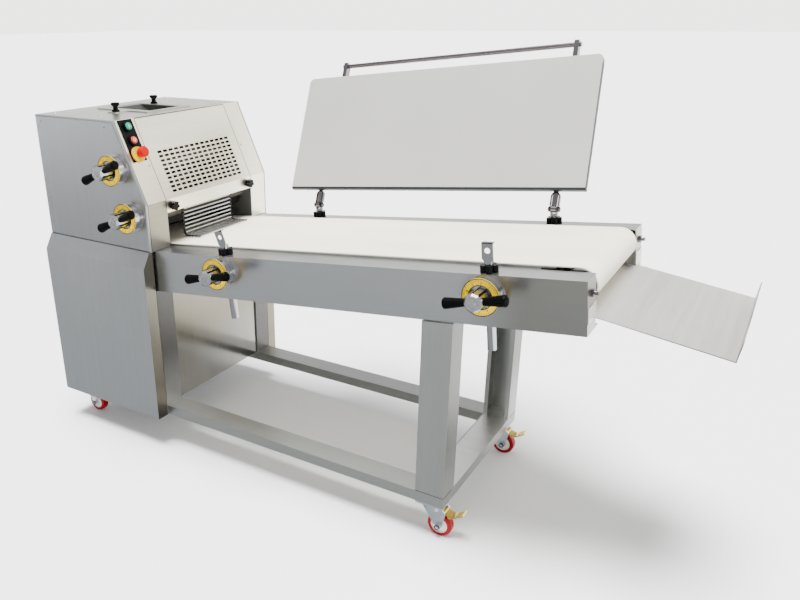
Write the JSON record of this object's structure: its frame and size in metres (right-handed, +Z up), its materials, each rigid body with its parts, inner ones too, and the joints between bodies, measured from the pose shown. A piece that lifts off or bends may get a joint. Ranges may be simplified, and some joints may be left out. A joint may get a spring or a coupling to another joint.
{
  "type": "dough moulder",
  "caption": "Dough moulder on castors: sheeting head with slotted guard and dials, tilted belt table with a hinged pressure board, discharge tray and push-button panel.",
  "frame": {"origin": "middle of the overall box, on the floor under the castors, with the board raised", "axes": "+X along the belt towards the discharge tray, +Y from the operator's side to the rear, +Z up"},
  "size_m": [2.3326, 0.9884, 1.4421],
  "materials": {
    "stainless": "satin stainless sheet",
    "polished": "bright machined steel",
    "zinc": "zinc plated",
    "board_grey": "matt",
    "belt_cream": "matt woven belt with a smooth coat",
    "black_plastic": "satin",
    "handle": "bright hub, black plastic grips",
    "scale_yellow": "printed",
    "collar_yellow": "gloss",
    "button_green": "gloss",
    "button_red": "gloss",
    "estop_red": "gloss",
    "wheel_red": "tread with a white hub",
    "pedal_brass": "yellow passivated",
    "roller_white": "smooth food-grade plastic",
    "motor_grey": "painted",
    "chain_steel": "oiled"
  },
  "bodies": {
    "machine": {"lower_frame": "stainless", "legs": "stainless", "cabinet_panels": "stainless", "head_side_covers": "stainless", "head_hood": "stainless", "head_inner_plates": "stainless", "head_front_strips": "stainless", "head_cross_bars": "stainless", "infeed_chute": "stainless", "control_plate": "black_plastic", "estop_collar": "collar_yellow", "dial_housings": "polished", "dial_scales": "scale_yellow", "side_rails": "stainless", "conveyor_bed": "stainless", "conveyor_belt": "belt_cream", "belt_take_ups": "polished", "gear_motor": "motor_grey", "drive_chain": "chain_steel", "cable_gland": "black_plastic", "castor_plates": "zinc", "discharge_tray": "stainless"},
    "castor_front_left": {"castor_fork_front_left": "zinc"},
    "wheel_front_left": {"castor_wheel_front_left": "wheel_red"},
    "castor_rear_left": {"castor_fork_rear_left": "zinc"},
    "wheel_rear_left": {"castor_wheel_rear_left": "wheel_red"},
    "castor_front_right": {"castor_fork_front_right": "zinc"},
    "wheel_front_right": {"castor_wheel_front_right": "wheel_red"},
    "pedal_front_right": {"brake_pedal_front_right": "pedal_brass"},
    "castor_rear_right": {"castor_fork_rear_right": "zinc"},
    "wheel_rear_right": {"castor_wheel_rear_right": "wheel_red"},
    "pedal_rear_right": {"brake_pedal_rear_right": "pedal_brass"},
    "belt_drive": {"belt_drive_roller": "polished"},
    "belt_end": {"belt_end_roller": "polished"},
    "sprocket": {"motor_sprocket": "chain_steel"},
    "upper_gap_dial": {"upper_gap_handle": "handle"},
    "upper_front": {"upper_front_roller": "roller_white"},
    "upper_rear": {"upper_rear_roller": "roller_white"},
    "lower_gap_dial": {"lower_gap_handle": "handle"},
    "lower_front": {"lower_front_roller": "roller_white"},
    "lower_rear": {"lower_rear_roller": "roller_white"},
    "guard": {"guard_cover": "stainless"},
    "guard_knob_front_body": {"guard_knob_front": "black_plastic"},
    "guard_knob_rear_body": {"guard_knob_rear": "black_plastic"},
    "hopper_knob_front_body": {"hopper_knob_front": "black_plastic"},
    "hopper_knob_rear_body": {"hopper_knob_rear": "black_plastic"},
    "start_button_body": {"start_button": "button_green"},
    "stop_button_body": {"stop_button": "button_red"},
    "estop_body": {"estop_button": "estop_red"},
    "rear_lift": {"rear_columns": "polished"},
    "front_lift": {"front_columns": "polished"},
    "board_dial_left": {"board_handle_left": "handle"},
    "lock_knob_front_left_body": {"lock_knob_front_left": "black_plastic"},
    "lock_knob_rear_left_body": {"lock_knob_rear_left": "black_plastic"},
    "board_dial_right": {"board_handle_right": "handle"},
    "lock_knob_front_right_body": {"lock_knob_front_right": "black_plastic"},
    "lock_knob_rear_right_body": {"lock_knob_rear_right": "black_plastic"},
    "board": {"pressure_board": "board_grey", "board_frame": "stainless"},
    "mat": {"curling_mat": "polished"}
  },
  "joints": [
    {"name": "swivel_front_left", "type": "hinge", "parent": "machine", "child": "castor_front_left", "pos_m": [-1.11733, -0.34119, 0.122], "axis": [0, 0, 1], "continuous": true},
    {"name": "roll_front_left", "type": "hinge", "parent": "castor_front_left", "child": "wheel_front_left", "pos_m": [-1.09033, -0.34119, 0.04], "axis": [0, 1, 0], "continuous": true},
    {"name": "swivel_rear_left", "type": "hinge", "parent": "machine", "child": "castor_rear_left", "pos_m": [-1.11733, 0.22082, 0.122], "axis": [0, 0, 1], "continuous": true},
    {"name": "roll_rear_left", "type": "hinge", "parent": "castor_rear_left", "child": "wheel_rear_left", "pos_m": [-1.09033, 0.22082, 0.04], "axis": [0, 1, 0], "continuous": true},
    {"name": "swivel_front_right", "type": "hinge", "parent": "machine", "child": "castor_front_right", "pos_m": [0.42767, -0.34119, 0.122], "axis": [0, 0, 1], "continuous": true},
    {"name": "roll_front_right", "type": "hinge", "parent": "castor_front_right", "child": "wheel_front_right", "pos_m": [0.45467, -0.34119, 0.04], "axis": [0, 1, 0], "continuous": true},
    {"name": "brake_front_right", "type": "hinge", "parent": "castor_front_right", "child": "pedal_front_right", "pos_m": [0.46767, -0.34119, 0.089], "axis": [0, 1, 0], "range_deg": [0, 10]},
    {"name": "swivel_rear_right", "type": "hinge", "parent": "machine", "child": "castor_rear_right", "pos_m": [0.42767, 0.22082, 0.122], "axis": [0, 0, 1], "continuous": true},
    {"name": "roll_rear_right", "type": "hinge", "parent": "castor_rear_right", "child": "wheel_rear_right", "pos_m": [0.45467, 0.22082, 0.04], "axis": [0, 1, 0], "continuous": true},
    {"name": "brake_rear_right", "type": "hinge", "parent": "castor_rear_right", "child": "pedal_rear_right", "pos_m": [0.46767, 0.22082, 0.089], "axis": [0, 1, 0], "range_deg": [0, 10]},
    {"name": "belt_drive_turn", "type": "hinge", "parent": "machine", "child": "belt_drive", "pos_m": [-0.89889, -0.06019, 0.69608], "axis": [0, 1, 0], "continuous": true},
    {"name": "belt_end_turn", "type": "hinge", "parent": "machine", "child": "belt_end", "pos_m": [0.77589, -0.06019, 0.87211], "axis": [0, 1, 0], "continuous": true},
    {"name": "motor_turn", "type": "hinge", "parent": "machine", "child": "sprocket", "pos_m": [-0.91433, -0.06019, 0.417], "axis": [0, 1, 0], "continuous": true},
    {"name": "upper_gap", "type": "hinge", "parent": "machine", "child": "upper_gap_dial", "pos_m": [-0.76333, -0.06019, 1.044], "axis": [0, -1, 0], "range_deg": [-40, 40]},
    {"name": "upper_front_turn", "type": "hinge", "parent": "upper_gap_dial", "child": "upper_front", "pos_m": [-0.76333, -0.06019, 1.038], "axis": [0, 1, 0], "continuous": true},
    {"name": "upper_rear_turn", "type": "hinge", "parent": "machine", "child": "upper_rear", "pos_m": [-0.83533, -0.06019, 1.038], "axis": [0, 1, 0], "continuous": true},
    {"name": "lower_gap", "type": "hinge", "parent": "machine", "child": "lower_gap_dial", "pos_m": [-0.71233, -0.06019, 0.885], "axis": [0, -1, 0], "range_deg": [-40, 40]},
    {"name": "lower_front_turn", "type": "hinge", "parent": "lower_gap_dial", "child": "lower_front", "pos_m": [-0.71233, -0.06019, 0.879], "axis": [0, 1, 0], "continuous": true},
    {"name": "lower_rear_turn", "type": "hinge", "parent": "machine", "child": "lower_rear", "pos_m": [-0.78433, -0.06019, 0.879], "axis": [0, 1, 0], "continuous": true},
    {"name": "guard_swing", "type": "hinge", "parent": "machine", "child": "guard", "pos_m": [-0.77178, -0.06019, 1.18879], "axis": [0, -1, 0], "range_deg": [0, 85]},
    {"name": "guard_knob_front_turn", "type": "hinge", "parent": "guard", "child": "guard_knob_front_body", "pos_m": [-0.64833, -0.27419, 0.907], "axis": [1, 0, 0], "continuous": true},
    {"name": "guard_knob_rear_turn", "type": "hinge", "parent": "guard", "child": "guard_knob_rear_body", "pos_m": [-0.64833, 0.15382, 0.907], "axis": [1, 0, 0], "continuous": true},
    {"name": "hopper_knob_front_turn", "type": "hinge", "parent": "machine", "child": "hopper_knob_front_body", "pos_m": [-0.93733, -0.22118, 1.203], "axis": [0, 0, 1], "continuous": true},
    {"name": "hopper_knob_rear_turn", "type": "hinge", "parent": "machine", "child": "hopper_knob_rear_body", "pos_m": [-1.00233, 0.03882, 1.203], "axis": [0, 0, 1], "continuous": true},
    {"name": "start_button_press", "type": "slide", "parent": "machine", "child": "start_button_body", "axis": [-0.9142, 0, -0.4052], "range_m": [0, 0.004], "stiffness_N_per_m": 300, "springref_m": -0.003},
    {"name": "stop_button_press", "type": "slide", "parent": "machine", "child": "stop_button_body", "axis": [-0.9142, 0, -0.4052], "range_m": [0, 0.004], "stiffness_N_per_m": 300, "springref_m": -0.003},
    {"name": "estop_press", "type": "slide", "parent": "machine", "child": "estop_body", "axis": [-0.9142, 0, -0.4052], "range_m": [0, 0.005]},
    {"name": "board_lift", "type": "slide", "parent": "machine", "child": "rear_lift", "axis": [-0.1045, 0, 0.9945], "range_m": [0, 0.03464]},
    {"name": "front_columns_lift", "type": "slide", "parent": "machine", "child": "front_lift", "axis": [-0.1045, 0, 0.9945], "range_m": [0, 0.03464]},
    {"name": "board_dial_left_turn", "type": "hinge", "parent": "machine", "child": "board_dial_left", "pos_m": [-0.34478, -0.37518, 0.74326], "axis": [0, -1, 0], "range_deg": [0, 120]},
    {"name": "lock_knob_front_left_turn", "type": "hinge", "parent": "machine", "child": "lock_knob_front_left_body", "pos_m": [-0.35001, -0.34619, 0.79299], "axis": [-0.1045, 0, 0.9945], "continuous": true},
    {"name": "lock_knob_rear_left_turn", "type": "hinge", "parent": "machine", "child": "lock_knob_rear_left_body", "pos_m": [-0.35001, 0.22581, 0.79299], "axis": [-0.1045, 0, 0.9945], "continuous": true},
    {"name": "board_dial_right_turn", "type": "hinge", "parent": "machine", "child": "board_dial_right", "pos_m": [0.56023, -0.37518, 0.83838], "axis": [0, -1, 0], "range_deg": [0, 120]},
    {"name": "lock_knob_front_right_turn", "type": "hinge", "parent": "machine", "child": "lock_knob_front_right_body", "pos_m": [0.55501, -0.34619, 0.88811], "axis": [-0.1045, 0, 0.9945], "continuous": true},
    {"name": "lock_knob_rear_right_turn", "type": "hinge", "parent": "machine", "child": "lock_knob_rear_right_body", "pos_m": [0.55501, 0.22581, 0.88811], "axis": [-0.1045, 0, 0.9945], "continuous": true},
    {"name": "board_swing", "type": "hinge", "parent": "rear_lift", "child": "board", "pos_m": [-0.65914, 0.22581, 0.80675], "axis": [0.9945, 0, 0.1045], "range_deg": [0, 118]},
    {"name": "mat_swing", "type": "hinge", "parent": "machine", "child": "mat", "pos_m": [-0.67233, -0.06019, 0.912], "axis": [0, -1, 0], "range_deg": [0, 28]}
  ],
  "couplings": [
    {"joint": "belt_end_turn", "follows": "belt_drive_turn", "ratio": 1},
    {"joint": "motor_turn", "follows": "belt_drive_turn", "ratio": 1},
    {"joint": "upper_front_turn", "follows": "belt_drive_turn", "ratio": -1},
    {"joint": "upper_rear_turn", "follows": "belt_drive_turn", "ratio": 1},
    {"joint": "lower_front_turn", "follows": "belt_drive_turn", "ratio": -1},
    {"joint": "lower_rear_turn", "follows": "belt_drive_turn", "ratio": 1},
    {"joint": "front_columns_lift", "follows": "board_lift", "ratio": 1},
    {"joint": "board_dial_left_turn", "follows": "board_lift", "rad_per_m": 60.461},
    {"joint": "board_dial_right_turn", "follows": "board_lift", "rad_per_m": 60.461}
  ]
}
